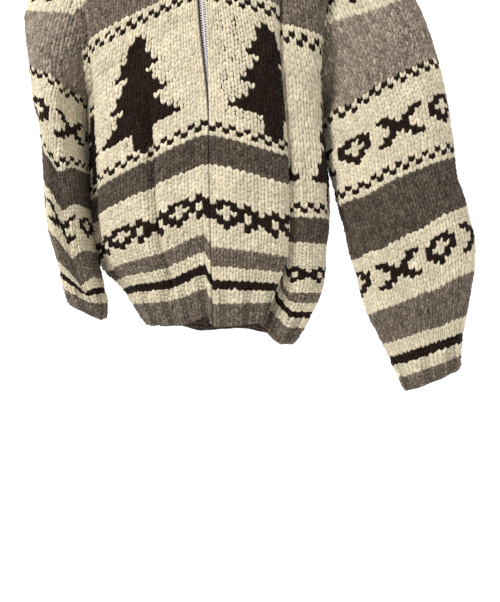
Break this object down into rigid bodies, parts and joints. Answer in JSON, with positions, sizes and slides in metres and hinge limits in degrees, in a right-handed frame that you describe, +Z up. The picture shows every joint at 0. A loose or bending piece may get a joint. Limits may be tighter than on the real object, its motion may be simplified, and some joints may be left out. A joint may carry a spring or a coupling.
{
  "type": "cowichan cardigan",
  "caption": "Heavy hand-knitted zip cardigan with patterned bands, ribbed hem and cuffs and a shawl collar, hollow as it is worn.",
  "frame": {"origin": "between the two neck points of the shoulder seams, where the wearer's shoulders hold the cardigan", "axes": "+Z up, the front faces -Y, the wearer's left is +X"},
  "size_m": [0.6675, 0.2217, 0.8014],
  "materials": {
    "wool": "thick hand-knitted wool in cream, heather grey and dark brown",
    "zip_tape": "woven tape",
    "zip_metal": "satin"
  },
  "bodies": {
    "cardigan": {"back": "wool", "front_left": "wool", "front_right": "wool", "hem_back": "wool", "hem_front_left": "wool", "hem_front_right": "wool", "sleeve_left": "wool", "sleeve_right": "wool", "cuff_left": "wool", "cuff_right": "wool", "collar": "wool", "zip_tape_left": "zip_tape", "zip_tape_right": "zip_tape", "zip_teeth_left": "zip_metal", "zip_teeth_right": "zip_metal", "zip_slider": "zip_metal"},
    "pull_tab": {"zip_pull": "zip_metal"}
  },
  "joints": [
    {"name": "pull_tab", "type": "hinge", "parent": "cardigan", "child": "pull_tab", "pos_m": [0.0045, -0.0959, -0.139], "axis": [-0.9952, 0.0901, -0.0376], "range_deg": [0, 120]}
  ]
}
